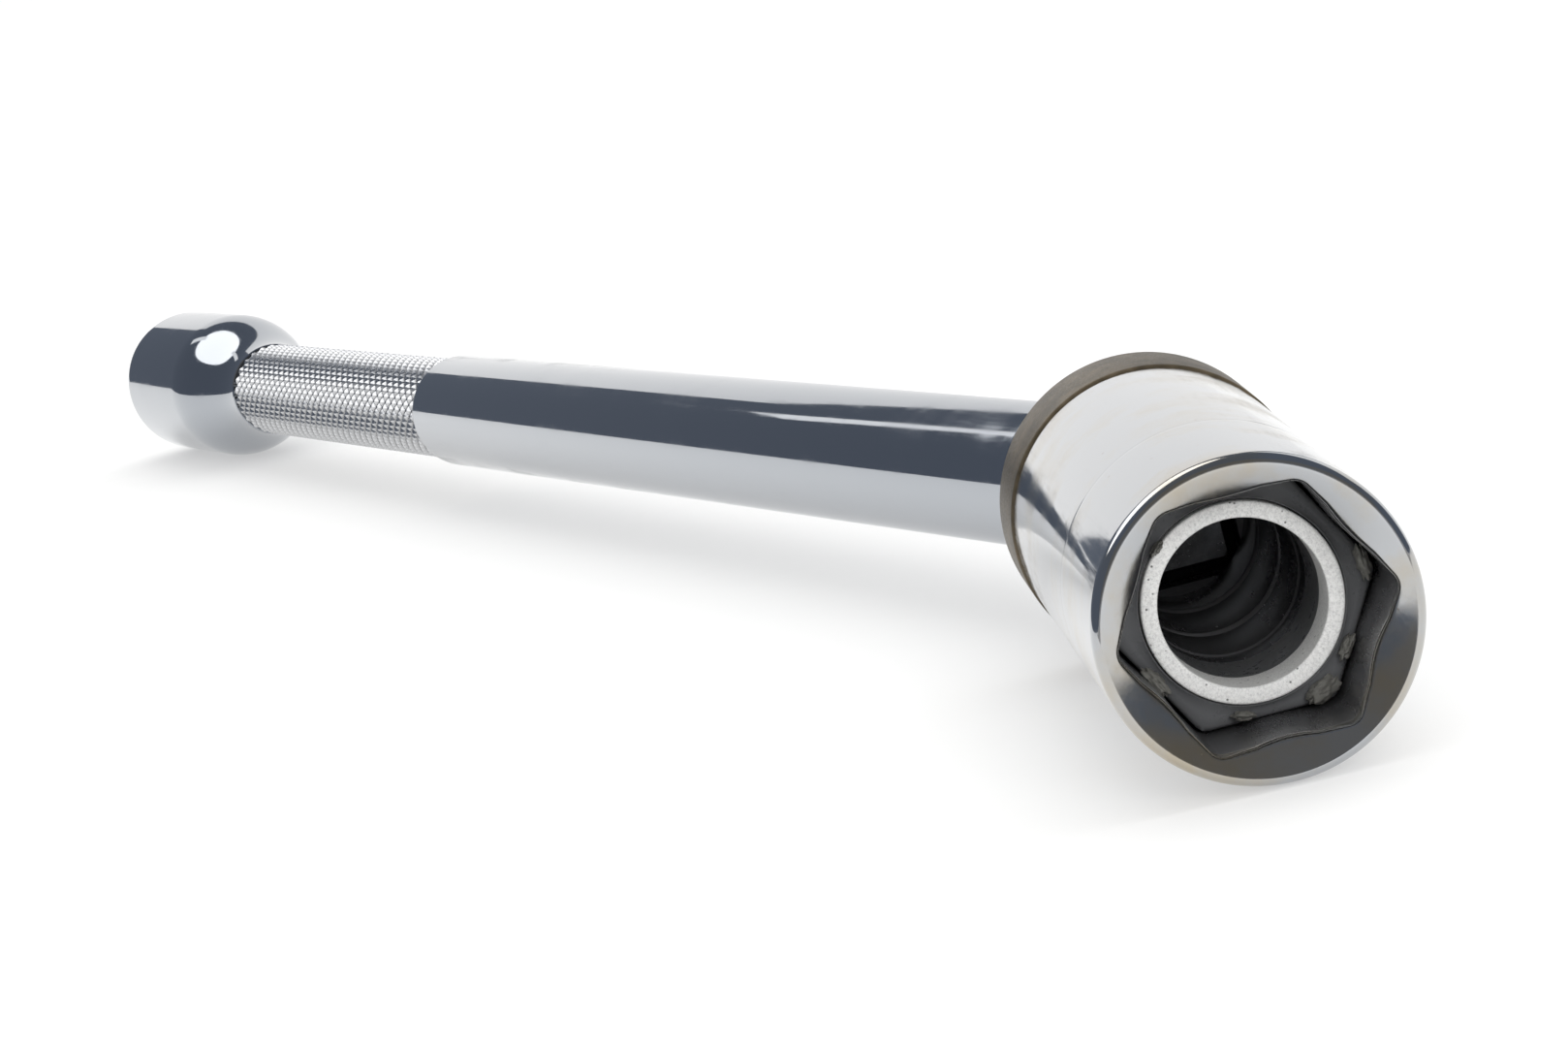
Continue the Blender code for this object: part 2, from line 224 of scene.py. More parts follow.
def brightChrome(name, place, colour, smears=0.0, stains=0.0):
    # decorative chrome plate: mirror-bright, with hair scratches and handling smears
    look = dict(colour=colour, smearTint="BCAC8B", rust="7A4A2C", roughness=0.045,
                smearSize=14.0, scratchSpacing=0.5, speckSpacing=1.9,
                boreGrey="5A5A5C", boreEdge=86.7, boreR=12.9, turnedEdge=90.0, turnedR=13.45)
    mat, tree, shader, coords = startMaterial(name, look["colour"], 1.0, look["roughness"])
    mm = alongPiece(tree, coords, place)
    smearNoise = addNode(tree, "TexNoise", {"Scale": 1 / look["smearSize"], "Detail": 6.0, "Roughness": 0.62},
                         {"Vector": mm}).outputs["Fac"]
    stretched = addNode(tree, "Mapping", {"Scale": (0.06, 1.0, 1.0)}, {"Vector": mm}).outputs["Vector"]
    hair = addNode(tree, "TexNoise", {"Scale": 1 / look["scratchSpacing"], "Detail": 3.0, "Roughness": 0.7},
                   {"Vector": stretched}).outputs["Fac"]
    smearMask = ramp(tree, smearNoise, [(0.47, (0.0,)), (0.70, (1.0,))])
    rough = addNode(tree, "MapRange", {"From Min": 0.0, "From Max": 1.0, "To Min": look["roughness"],
                                       "To Max": look["roughness"] + 0.06 + 0.12 * smears},
                    {"Value": smearMask}).outputs["Result"]
    hairRough = addNode(tree, "MapRange", {"From Min": 0.45, "From Max": 0.75, "To Min": 0.0, "To Max": 0.05},
                        {"Value": hair}).outputs["Result"]
    total = addNode(tree, "Math", {"operation": "ADD"}, {0: rough, 1: hairRough}).outputs[0]
    if stains:
        specks = addNode(tree, "TexVoronoi", {"Scale": 1 / look["speckSpacing"], "Randomness": 1.0},
                         {"Vector": mm}).outputs["Distance"]
        pick = addNode(tree, "TexNoise", {"Scale": 0.35, "Detail": 1.0}, {"Vector": mm}).outputs["Fac"]
        speckMask = ramp(tree, specks, [(0.04, (1.0,)), (0.09, (0.0,))])
        pickMask = ramp(tree, pick, [(0.56, (0.0,)), (0.62, (1.0,))])
        speckOn = addNode(tree, "Math", {"operation": "MULTIPLY"}, {0: speckMask, 1: pickMask}).outputs[0]
        smear = addNode(tree, "Math", {"operation": "MULTIPLY", 1: stains}, {0: smearMask}).outputs[0]
        tinted = addNode(tree, "Mix", {"data_type": "RGBA", 6: hexColour(look["colour"]),
                                       7: hexColour(look["smearTint"])}, {0: smear}).outputs[2]
        rusty = addNode(tree, "Mix", {"data_type": "RGBA", 7: hexColour(look["rust"])},
                        {0: speckOn, 6: tinted}).outputs[2]
        # deep inside the bore the base colour turns dark grey and much less metallic
        bore = boreMask(tree, mm, look["boreEdge"], look["boreR"])
        boreGreyed = addNode(tree, "Mix", {"data_type": "RGBA", 7: hexColour(look["boreGrey"])},
                        {0: bore, 6: rusty}).outputs[2]
        tree.links.new(boreGreyed, shader.inputs["Base Color"])
        boreMetallic = addNode(tree, "Math", {"operation": "MULTIPLY_ADD", 1: -0.65, 2: 1.0}, {0: bore}).outputs[0]
        tree.links.new(boreMetallic, shader.inputs["Metallic"])
        total = addNode(tree, "Math", {"operation": "MULTIPLY_ADD", 1: 0.10}, {0: bore, 2: total}).outputs[0]
        # the lead-in keeps its lathe-turned satin under the plate
        turned = boreMask(tree, mm, look["turnedEdge"], look["turnedR"])
        total = addNode(tree, "Math", {"operation": "MULTIPLY_ADD", 1: 0.07},
                        {0: turned, 2: total}).outputs[0]
    tree.links.new(total, shader.inputs["Roughness"])
    waviness = addNode(tree, "TexNoise", {"Scale": 0.09, "Detail": 1.0}, {"Vector": mm}).outputs["Fac"]
    height = addNode(tree, "Math", {"operation": "MULTIPLY_ADD", 1: 0.02}, {0: hair, 2: waviness}).outputs[0]
    bump = addNode(tree, "Bump", {"Strength": 0.05, "Distance": 0.0003}, {"Height": height}).outputs["Normal"]
    tree.links.new(bump, shader.inputs["Normal"])
    return mat


def knurlChrome(name, place):
    # chrome over a rolled knurl: bright but broken up, with painted shade darkening the grooves
    look = dict(colour="CDCED0", grooveShade="9C9D9F", roughness=0.24, grooveR=6.62, crestR=6.95)
    mat, tree, shader, coords = startMaterial(name, look["colour"], 1.0, look["roughness"])
    mm = alongPiece(tree, coords, place)
    grain = addNode(tree, "TexNoise", {"Scale": 3.0, "Detail": 4.0}, {"Vector": mm}).outputs["Fac"]
    rough = addNode(tree, "MapRange", {"From Min": 0.3, "From Max": 0.7, "To Min": 0.18, "To Max": 0.34},
                    {"Value": grain}).outputs["Result"]
    tree.links.new(rough, shader.inputs["Roughness"])
    axes = addNode(tree, "SeparateXYZ", links={"Vector": mm}).outputs
    yy = addNode(tree, "Math", {"operation": "MULTIPLY"}, {0: axes[1], 1: axes[1]}).outputs[0]
    zz = addNode(tree, "Math", {"operation": "MULTIPLY"}, {0: axes[2], 1: axes[2]}).outputs[0]
    sumSquares = addNode(tree, "Math", {"operation": "ADD"}, {0: yy, 1: zz}).outputs[0]
    radius = addNode(tree, "Math", {"operation": "SQRT"}, {0: sumSquares}).outputs[0]
    # painted shade: the base colour darkens from the crests down to the bottoms of the grooves
    depth = addNode(tree, "MapRange", {"From Min": look["grooveR"], "From Max": look["crestR"]},
                    {"Value": radius}).outputs["Result"]
    mixed = addNode(tree, "Mix", {"data_type": "RGBA", 6: hexColour(look["grooveShade"]),
                                  7: hexColour(look["colour"])}, {0: depth}).outputs[2]
    tree.links.new(mixed, shader.inputs["Base Color"])
    return mat


def plainSteel(name, place, colour, roughness, grain=2.0, depth=0.25, metallic=1.0):
    # turned or forged steel under thin plate: satin, with a fine uneven grain
    mat, tree, shader, coords = startMaterial(name, colour, metallic, roughness)
    mm = alongPiece(tree, coords, place)
    fine = addNode(tree, "TexNoise", {"Scale": grain, "Detail": 5.0, "Roughness": 0.65},
                   {"Vector": mm}).outputs["Fac"]
    rough = addNode(tree, "MapRange", {"From Min": 0.3, "From Max": 0.7, "To Min": roughness * 0.75,
                                       "To Max": roughness * 1.3}, {"Value": fine}).outputs["Result"]
    tree.links.new(rough, shader.inputs["Roughness"])
    bump = addNode(tree, "Bump", {"Strength": depth, "Distance": 0.00005}, {"Height": fine}).outputs["Normal"]
    tree.links.new(bump, shader.inputs["Normal"])
    return mat


def taupeAnodise(name, place):
    # matt taupe ring: a dull, slightly greasy coat with fine turning grain
    look = dict(colour="574D3C", dark="3E3628", light="6F624E", roughness=0.42)
    mat, tree, shader, coords = startMaterial(name, look["colour"], 0.35, look["roughness"])
    mm = alongPiece(tree, coords, place)
    cloud = addNode(tree, "TexNoise", {"Scale": 0.25, "Detail": 6.0, "Roughness": 0.7},
                    {"Vector": mm}).outputs["Fac"]
    mixed = ramp(tree, cloud, [(0.3, hexColour(look["dark"])), (0.5, hexColour(look["colour"])),
                               (0.72, hexColour(look["light"]))])
    tree.links.new(mixed, shader.inputs["Base Color"])
    grain = addNode(tree, "TexNoise", {"Scale": 4.0, "Detail": 4.0, "Roughness": 0.7},
                    {"Vector": mm}).outputs["Fac"]
    rough = addNode(tree, "MapRange", {"From Min": 0.3, "From Max": 0.7, "To Min": 0.34, "To Max": 0.56},
                    {"Value": grain}).outputs["Result"]
    tree.links.new(rough, shader.inputs["Roughness"])
    bump = addNode(tree, "Bump", {"Strength": 0.35, "Distance": 0.00004}, {"Height": grain}).outputs["Normal"]
    tree.links.new(bump, shader.inputs["Normal"])
    return mat


def satinNickel(name, place):
    # sintered magnet under satin nickel: pale grain with pin-prick pores
    look = dict(colour="F6F6F4", dull="C2C2C1", bright="FCFCFA", pore="4A4A4A", roughness=0.42,
                grain=5.0, poreSpacing=1.1)
    mat, tree, shader, coords = startMaterial(name, look["colour"], 0.05, look["roughness"])
    mm = alongPiece(tree, coords, place)
    grain = addNode(tree, "TexNoise", {"Scale": look["grain"], "Detail": 6.0, "Roughness": 0.8},
                    {"Vector": mm}).outputs["Fac"]
    pores = addNode(tree, "TexVoronoi", {"Scale": 1 / look["poreSpacing"]},
                    {"Vector": mm}).outputs["Distance"]
    poreMask = ramp(tree, pores, [(0.05, (1.0,)), (0.12, (0.0,))])
    speckle = ramp(tree, grain, [(0.32, hexColour(look["dull"])), (0.55, hexColour(look["colour"])),
                                 (0.75, hexColour(look["bright"]))])
    mixed = addNode(tree, "Mix", {"data_type": "RGBA", 7: hexColour(look["pore"])},
                    {0: poreMask, 6: speckle}).outputs[2]
    tree.links.new(mixed, shader.inputs["Base Color"])
    rough = addNode(tree, "MapRange", {"From Min": 0.3, "From Max": 0.7, "To Min": 0.34, "To Max": 0.58},
                    {"Value": grain}).outputs["Result"]
    tree.links.new(rough, shader.inputs["Roughness"])
    bump = addNode(tree, "Bump", {"Strength": 0.5, "Distance": 0.00006}, {"Height": grain}).outputs["Normal"]
    tree.links.new(bump, shader.inputs["Normal"])
    return mat


def blackNylon(name, place):
    # moulded black nylon: smooth and slightly glossy, with dust in it
    look = dict(colour="6C6D6F", dust="9A9A9A", roughness=0.30)
    mat, tree, shader, coords = startMaterial(name, look["colour"], 0.0, look["roughness"])
    mm = alongPiece(tree, coords, place)
    cloud = addNode(tree, "TexNoise", {"Scale": 0.6, "Detail": 5.0, "Roughness": 0.7},
                    {"Vector": mm}).outputs["Fac"]
    dust = addNode(tree, "TexVoronoi", {"Scale": 1.6}, {"Vector": mm}).outputs["Distance"]
    dustMask = ramp(tree, dust, [(0.03, (1.0,)), (0.06, (0.0,))])
    mixed = addNode(tree, "Mix", {"data_type": "RGBA", 6: hexColour(look["colour"]),
                                  7: hexColour(look["dust"])}, {0: dustMask}).outputs[2]
    tree.links.new(mixed, shader.inputs["Base Color"])
    rough = addNode(tree, "MapRange", {"From Min": 0.3, "From Max": 0.7, "To Min": 0.22, "To Max": 0.42},
                    {"Value": cloud}).outputs["Result"]
    tree.links.new(rough, shader.inputs["Roughness"])
    bump = addNode(tree, "Bump", {"Strength": 0.1, "Distance": 0.0001}, {"Height": cloud}).outputs["Normal"]
    tree.links.new(bump, shader.inputs["Normal"])
    return mat


chromeSocket = brightChrome("decorativeChromeSocket", headFrame, "B9BBBE", smears=0.5, stains=0.6)
chromeHandle = brightChrome("decorativeChromeHandle", handleFrame, "A9ADB3", smears=0.15)
chromeKnurl = knurlChrome("chromeOverKnurl", handleFrame)
satinDrive = plainSteel("satinChromeDrive", headFrame, "B2B3B5", 0.22)
darkSteelHandle = plainSteel("oiledDarkSteel", handleFrame, "4C4C4F", 0.34)
ballSteelHead = plainSteel("ballBearingSteelHead", headFrame, "C9C9CB", 0.1, depth=0.05)
ballSteelHandle = plainSteel("ballBearingSteelHandle", handleFrame, "C9C9CB", 0.1, depth=0.05)
springWireHead = plainSteel("drawnSpringWireHead", headFrame, "9A9A9C", 0.25)
springWireHandle = plainSteel("drawnSpringWireHandle", handleFrame, "9A9A9C", 0.25)
zincWasher = plainSteel("zincPlatedWasher", handleFrame, "A8AAAC", 0.3)
taupeBand = taupeAnodise("mattTaupeCoat", headFrame)
magnetSkin = satinNickel("satinNickelMagnet", headFrame)
holderNylon = blackNylon("blackNylon", headFrame)
driedGrease = plainSteel("driedGreaseCrumbs", headFrame, "73726D", 0.35, grain=3.0, depth=0.6, metallic=0.3)
print("materials done")


# the socket and everything inside it

socketBody = dict(
    steps=480, bodyR=14.3, rear=9.0, front=89.0, bandEnd=21.0, journalR=13.1,
    mouthR=13.4, leadSlope=0.55, leadCurve=0.08, hexHalf=10.75, hexCornerR=1.6,
    hexFloor=65.0, wellR=7.4, squareHalf=6.45, squareFloor=25.5, edgeRound=0.42, flankBulge=0.24,
    rimR=13.7, rearR=11.2, lineAt=64.4, lineDepth=0.012, ringStep=0.04, leadDepth=3.4)


def leadInRadius(s, depth):
    # radius of the mouth's rounded lead-in at this depth below the rim
    a, b = s["leadSlope"], s["leadCurve"]
    return s["mouthR"] - (math.sqrt(a * a + 4 * b * max(depth, 0)) - a) / (2 * b)


def shapeSocket(s):
    outer = filletedLine([
        (s["rear"], s["rearR"], 0), (s["rear"], 12.3, 0.2), (s["rear"] + 0.8, s["journalR"], 0.2),
        (s["bandEnd"] + 0.3, s["journalR"], 0.1), (s["bandEnd"] + 0.3, 13.75, 0.3),
        (s["bandEnd"] + 0.9, s["bodyR"], 0.5), (s["lineAt"], s["bodyR"], 0.1),
        (s["lineAt"] + 0.3, s["bodyR"] - s["lineDepth"], 0.1),
        (s["lineAt"] + 0.6, s["bodyR"] - s["lineDepth"], 0.1),
        (s["lineAt"] + 0.9, s["bodyR"], 0.1), (s["front"] - 0.75, s["bodyR"], 0.75),
        (s["front"], s["rimR"], 0.35), (s["front"] - 0.01, s["mouthR"], 0)])
    mouth = []
    depth = s["ringStep"]
    while depth < s["leadDepth"]:
        mouth.append(Vector((s["front"] - depth, s["hexHalf"])))
        depth += s["ringStep"] + depth * 0.02
    for depth in (3.8, 4.4, 5.2, 6.5, 8.0, 10.0, 13.0, 18.0):
        mouth.append(Vector((s["front"] - depth, s["hexHalf"])))
    mouth.append(Vector((s["hexFloor"], s["hexHalf"])))
    well = []
    for at, cut in ((61.5, 0.2), (49.0, 0.5), (35.0, 0.5)):     # relief grooves left by the boring tool
        well += [(at + 1.0, s["wellR"], 0.1), (at + 0.9, s["wellR"] + cut, 0.1),
                 (at - 0.9, s["wellR"] + cut, 0.1), (at - 1.0, s["wellR"], 0.1)]
    inner = filletedLine([(s["hexFloor"], s["wellR"], 0)] + well + [(s["squareFloor"], s["wellR"], 0)], 3)
    square = [Vector((s["squareFloor"], s["squareHalf"])), Vector((20.0, s["squareHalf"])),
              Vector((15.0, s["squareHalf"])), Vector((s["rear"] + 0.6, s["squareHalf"])),
              Vector((s["rear"], s["squareHalf"] + 0.5)), Vector((s["rear"], s["rearR"]))]
    piece = turnPiece("socketBody", outer + mouth + inner + square, s["steps"])
    for v in piece.data.vertices:
        radius = math.hypot(v.co.y, v.co.z)
        angle = angleAround(v.co)
        want = radius
        if v.co.x > s["hexFloor"] - 0.01 and abs(radius - s["hexHalf"]) < 0.01:
            hexR = polygonRadius(angle, 6, s["hexHalf"], s["hexCornerR"])
            hexR -= s["flankBulge"] * max(0.0, -math.cos(6 * angle))
            want = softMax(hexR, leadInRadius(s, s["front"] - v.co.x), s["edgeRound"])
        elif v.co.x < s["squareFloor"] + 0.01 and abs(radius - s["squareHalf"]) < 0.01:
            want = polygonRadius(angle, 4, s["squareHalf"], 0.5, math.pi / 4)
        elif abs(v.co.x - s["rear"]) < 0.01 and abs(radius - s["squareHalf"] - 0.5) < 0.01:
            want = polygonRadius(angle, 4, s["squareHalf"] + 0.5, 0.8, math.pi / 4)
        if want != radius:
            v.co.y *= want / radius
            v.co.z *= want / radius
    cleanShell(piece)
    return piece


settle(shapeSocket(socketBody), headFrame, "socket", ["socket_body"], chromeSocket, 30)

socketBand = dict(start=9.0, end=21.0, outer=14.49, inner=13.2, steps=240)


def shapeBand(b):
    line = filletedLine([
        (b["start"], b["inner"] + 0.4, 0), (b["start"], b["outer"], 0.45), (b["end"], b["outer"], 0.4),
        (b["end"], b["inner"], 0.1), (b["start"] + 0.6, b["inner"], 0.1), (b["start"], b["inner"] + 0.4, 0)])
    return turnPiece("socketBand", line, b["steps"])


settle(shapeBand(socketBand), headFrame, "socket", ["socket_band"], taupeBand, 40)

magnetRing = dict(front=78.5, rear=73.1, outer=8.9, inner=7.4, steps=240)


def shapeMagnet(m):
    line = filletedLine([
        (m["rear"], m["inner"], 0), (m["rear"], m["outer"], 0.1), (m["front"], m["outer"], 0.3),
        (m["front"], m["inner"], 0.3), (m["rear"], m["inner"], 0)], 4)
    return turnPiece("ringMagnet", line, m["steps"])


settle(shapeMagnet(magnetRing), headFrame, "socket", ["ring_magnet"], magnetSkin, 40)

magnetHolder = dict(front=77.9, dish=77.2, rear=65.1, half=10.45, cornerR=1.3, bore=9.02, wellR=7.4,
                    seat=73.0, steps=240)


def shapeHolder(h):
    line = [Vector(p) for p in (
        (h["rear"], h["wellR"]), (h["rear"], h["half"]), (70.0, h["half"]), (h["dish"] - 1.0, h["half"]),
        (h["dish"] - 0.5, h["half"]), (h["dish"] - 0.1, h["half"] - 0.25), (h["dish"] + 0.1, h["half"] - 0.7),
        (h["dish"] + 0.35, h["half"] - 1.1), (h["front"], h["bore"] + 0.12), (h["front"] - 0.1, h["bore"]),
        (h["seat"], h["bore"]), (h["seat"], h["wellR"]), (h["rear"], h["wellR"]))]
    piece = turnPiece("magnetHolder", line, h["steps"])
    for v in piece.data.vertices:
        radius = math.hypot(v.co.y, v.co.z)
        if radius > h["bore"] + 0.15:
            share = (radius - h["bore"]) / (h["half"] - h["bore"])
            flat = polygonRadius(angleAround(v.co), 6, h["half"], h["cornerR"])
            want = h["bore"] + (flat - h["bore"]) * share
            v.co.y *= want / radius
            v.co.z *= want / radius
    return piece


settle(shapeHolder(magnetHolder), headFrame, "socket", ["magnet_holder"], holderNylon, 50)

# dried grease and burrs left near the corners of the hexagon
mouthFlakes = [
    dict(x=78.4, angle=4, radius=10.9, size=(0.78, 1.46, 0.56), seed=1),
    dict(x=78.2, angle=-38, radius=9.9, size=(0.78, 1.21, 0.49), seed=2),
    dict(x=78.3, angle=-62, radius=10.4, size=(0.78, 1.62, 0.82), seed=3),
    dict(x=78.1, angle=-103, radius=9.9, size=(0.62, 0.97, 0.41), seed=4),
    dict(x=78.3, angle=-152, radius=10.2, size=(0.78, 1.46, 0.65), seed=5),
    dict(x=78.9, angle=133, radius=9.0, size=(0.70, 0.82, 0.36), seed=6),
    dict(x=78.0, angle=152, radius=10.1, size=(0.62, 1.13, 0.49), seed=7)]


def shapeFlake(f):
    deselectAll()
    bpy.ops.mesh.primitive_ico_sphere_add(subdivisions=4, radius=1, location=(0, 0, 0))
    flake = bpy.context.object
    for v in flake.data.vertices:
        lump = noise.fractal(v.co * 1.9 + Vector((f["seed"] * 7.0, 0, 0)), 1.0, 2.1, 4)
        v.co *= 1 + 0.38 * lump
        v.co.x, v.co.y, v.co.z = (v.co[i] * f["size"][i] for i in range(3))
    angle = math.radians(f["angle"])
    flake.data.transform(Matrix.Translation((f["x"], 0, 0)) @ Matrix.Rotation(angle, 4, "X")
                         @ Matrix.Translation((0, f["radius"], 0)) @ Matrix.Rotation(math.pi / 2, 4, "X"))
    return flake


flakes = [shapeFlake(f) for f in mouthFlakes]
deselectAll()
for flake in flakes:
    flake.select_set(True)
bpy.context.view_layer.objects.active = flakes[0]
bpy.ops.object.join()
flakes[0].name = "mouthFlakes"
settle(flakes[0], headFrame, "socket", [], driedGrease, 60)
print("socket done")


# the handle: shank tube, knurled grip, end knob

shankTube = dict(start=14.0, end=232.0, outer=7.7, inner=5.85, steps=192)


def shapeTube(t):
    line = filletedLine([
        (t["start"], t["inner"], 0), (t["start"], t["outer"], 0.3), (t["end"], t["outer"], 0.6),
        (t["end"], t["inner"], 0), (t["start"], t["inner"], 0)])
    return turnPiece("shankTube", line, t["steps"])


settle(shapeTube(shankTube), handleFrame, "handle", ["shank_tube"], chromeHandle)

knurledGrip = dict(start=232.3, end=334.0, radius=7.05, inner=5.9, starts=26, pitch=3.0,
                   perPitch=8, depth=0.42, crest=0.16, endR=6.4, chamferR=6.85)


def shapeGrip(g):
    columns = g["starts"] * g["perPitch"]
    rows = int(round((g["end"] - g["start"]) / g["pitch"] * g["perPitch"]))
    deselectAll()
    bpy.ops.mesh.primitive_grid_add(x_subdivisions=rows, y_subdivisions=columns, size=2, location=(0, 0, 0))
    piece = bpy.context.object
    piece.name = "knurledGrip"
    run = g["end"] - g["start"]
    for v in piece.data.vertices:
        along = (v.co.x + 1) / 2
        turn = (v.co.y + 1) / 2
        row = round(along * rows)
        u = (turn * g["starts"] + along * rows / g["perPitch"]) % 1
        w = (turn * g["starts"] - along * rows / g["perPitch"]) % 1
        peak = min(min(u, 1 - u), min(w, 1 - w)) * 2
        radius = g["radius"] - g["depth"] * max(0, 1 - g["crest"] - peak) / (1 - g["crest"])
        fromEnd = min(row, rows - row)
        if fromEnd == 0:
            radius = g["inner"]
        elif fromEnd == 1:
            radius = g["endR"]
        elif fromEnd == 2:
            radius = min(radius, g["chamferR"])
        x = g["start"] + run * (0.0 if row == 0 else 1.0 if row == rows else along)
        if row == 1:
            x = g["start"]
        if row == rows - 1:
            x = g["end"]
        angle = turn * 2 * math.pi
        v.co = (x, radius * math.cos(angle), radius * math.sin(angle))
    cleanShell(piece)
    makeActive(piece)
    bpy.ops.object.mode_set(mode="EDIT")
    bpy.ops.mesh.select_all(action="DESELECT")
    bpy.ops.mesh.select_non_manifold()
    bpy.ops.mesh.bridge_edge_loops()
    bpy.ops.object.mode_set(mode="OBJECT")
    cleanShell(piece)
    return piece


settle(shapeGrip(knurledGrip), handleFrame, "handle", ["knurled_grip"], chromeKnurl, 20)

endKnob = dict(start=334.3, end=395.6, radius=11.28, neck=7.05, flareEnd=357.3, domeFrom=386.0, domeTurn=57,
               bore=5.85, headSeat=391.6, headR=4.4, screwR=2.75, screwEnd=387.0, steps=192)


def shapeKnob(k):
    line = [Vector((k["start"], k["bore"])), Vector((k["start"], k["neck"] - 0.15)),
            Vector((k["start"] + 0.15, k["neck"]))]
    flareSteps, domeSteps = 32, 14
    for i in range(1, flareSteps + 1):
        share = i / flareSteps
        line.append(Vector((k["start"] + (k["flareEnd"] - k["start"]) * share,
                            k["neck"] + (k["radius"] - k["neck"]) * (1 - math.cos(math.pi * share)) / 2)))
    for i in range(domeSteps + 1):
        a = math.radians(k["domeTurn"] * i / domeSteps)
        line.append(Vector((k["domeFrom"] + (k["end"] - k["domeFrom"]) * math.sin(a),
                            k["radius"] * math.cos(a))))
    tip = k["end"] - 0.4
    line += filletedLine([
        (tip - 0.5, 5.9, 0), (tip, 5.2, 0.3), (tip, k["headR"], 0.2), (k["headSeat"], k["headR"], 0),
        (k["headSeat"], k["screwR"], 0), (k["screwEnd"], k["screwR"], 0), (k["screwEnd"], k["bore"], 0),
        (k["start"], k["bore"], 0)], 3)
    return turnPiece("endKnob", line, k["steps"])


settle(shapeKnob(endKnob), handleFrame, "handle", ["end_knob"], chromeHandle)


# forged and machined pieces keep their solid's shape and get softened edges
def softenedCopy(node, name, width, degrees=28):
    source = frame["nodes"][node]
    piece = bpy.data.objects.new(name, source.data.copy())
    bpy.context.scene.collection.objects.link(piece)
    piece.data.transform(source.matrix_world)
    makeActive(piece)
    bpy.ops.object.mode_set(mode="EDIT")
    bpy.ops.mesh.select_all(action="SELECT")
    bpy.ops.mesh.remove_doubles(threshold=0.000002)
    bpy.ops.mesh.dissolve_limited(angle_limit=math.radians(1.0))
    bpy.ops.object.mode_set(mode="OBJECT")
    bevel = piece.modifiers.new("softEdges", "BEVEL")
    bevel.width = width
    bevel.segments = 3
    bevel.limit_method = "ANGLE"
    bevel.angle_limit = math.radians(degrees)
    bevel.harden_normals = False
    bpy.ops.object.modifier_apply(modifier=bevel.name)
    return piece


softenedPieces = [
    dict(node="yoke", name="forgedYoke", edge=0.00035, body="handle", finish=chromeHandle,
         slot="polished_chrome"),
    dict(node="drive_head", name="driveHead", edge=0.0003, body="head", finish=satinDrive,
         slot="satin_chrome"),
    dict(node="pivot_screw", name="pivotScrew", edge=0.00012, body="handle", finish=darkSteelHandle,
         slot="dark_steel"),
    dict(node="knob_screw", name="knobScrew", edge=0.00012, body="handle", finish=darkSteelHandle,
         slot="dark_steel"),
    dict(node="pivot_nut", name="pivotNut", edge=0.00015, body="handle", finish=darkSteelHandle,
         slot="dark_steel")]
for p in softenedPieces:
    settle(softenedCopy(p["node"], p["name"], p["edge"]), Matrix.Identity(4), p["body"], [p["node"]],
           p["finish"], 30)

keptNodes = {"core_bar": darkSteelHandle, "yoke_roll_pin": darkSteelHandle, "pivot_washer_upper": zincWasher,
             "pivot_washer_lower": zincWasher, "plunger_ball": ballSteelHandle, "detent_ball": ballSteelHead,
             "plunger_spring": springWireHandle, "detent_spring": springWireHead}
for node, finish in keptNodes.items():
    kept = frame["nodes"][node]
    kept.data.materials.clear()
    kept.data.materials.append(finish)
    for polygon in kept.data.polygons:
        polygon.material_index = 0
print("handle done")


# white table-top studio

studio = dict(floorSize=60.0, floorColour="BDBDBC", floorGlow=0.42, roomColour="646B77", fillStrength=0.94,
              sunStrength=1.3, sunAngle=75, sunFrom=(135, 62))

# cards seen only in reflections; azimuth, elevation and roll in degrees, the rest in metres
cards = [
    dict(name="backdropCard", azimuth=180.6, elevation=10, distance=1.8, size=(0.79, 0.84), strength=1.0,
         roll=10),
    dict(name="sideCard", azimuth=140, elevation=16, distance=1.8, size=(1.50, 1.10), strength=1.0),
    dict(name="stripCard", azimuth=-155, elevation=23.6, distance=1.5, size=(0.08, 0.24), strength=1.3),
    dict(name="softboxCard", azimuth=-147, elevation=46, distance=1.5, size=(1.10, 1.55), strength=2.2,
         roll=-68, rounded=True),
    dict(name="frontRoomCard", azimuth=0, elevation=40, distance=2.2, size=(7.0, 3.2), strength=0.16)]
# painted shade: a dim glowing sheet lying on the table in front of the tool, seen only in reflections, stands
# in for the less lit table there
tableShadeCard = dict(name="frontTableShadeCard", azimuth=0, elevation=0, distance=1.0, size=(1.30, 2.60),
                 strength=0.45)
tableShadeCardPlace = (0.98, 0, 0.002)


def directionAt(azimuth, elevation):
    a, e = math.radians(azimuth), math.radians(elevation)
    return Vector((math.cos(a) * math.cos(e), math.sin(a) * math.cos(e), math.sin(e)))


def makeFloor(s):
    deselectAll()
    bpy.ops.mesh.primitive_plane_add(size=s["floorSize"], location=(0, 0, 0))
    floor = bpy.context.object
    floor.name = "paleFloor"
    mat, tree, shader, coords = startMaterial("mattPaleBoard", s["floorColour"], 0.0, 0.6)
    grain = addNode(tree, "TexNoise", {"Scale": 220.0, "Detail": 3.0}, {"Vector": coords}).outputs["Fac"]
    rough = addNode(tree, "MapRange", {"To Min": 0.55, "To Max": 0.7}, {"Value": grain}).outputs["Result"]
    tree.links.new(rough, shader.inputs["Roughness"])
    shader.inputs["Specular IOR Level"].default_value = 0.1
    shader.inputs["Emission Color"].default_value = (1, 1, 1, 1)
    shader.inputs["Emission Strength"].default_value = s["floorGlow"]
    floor.data.materials.append(mat)


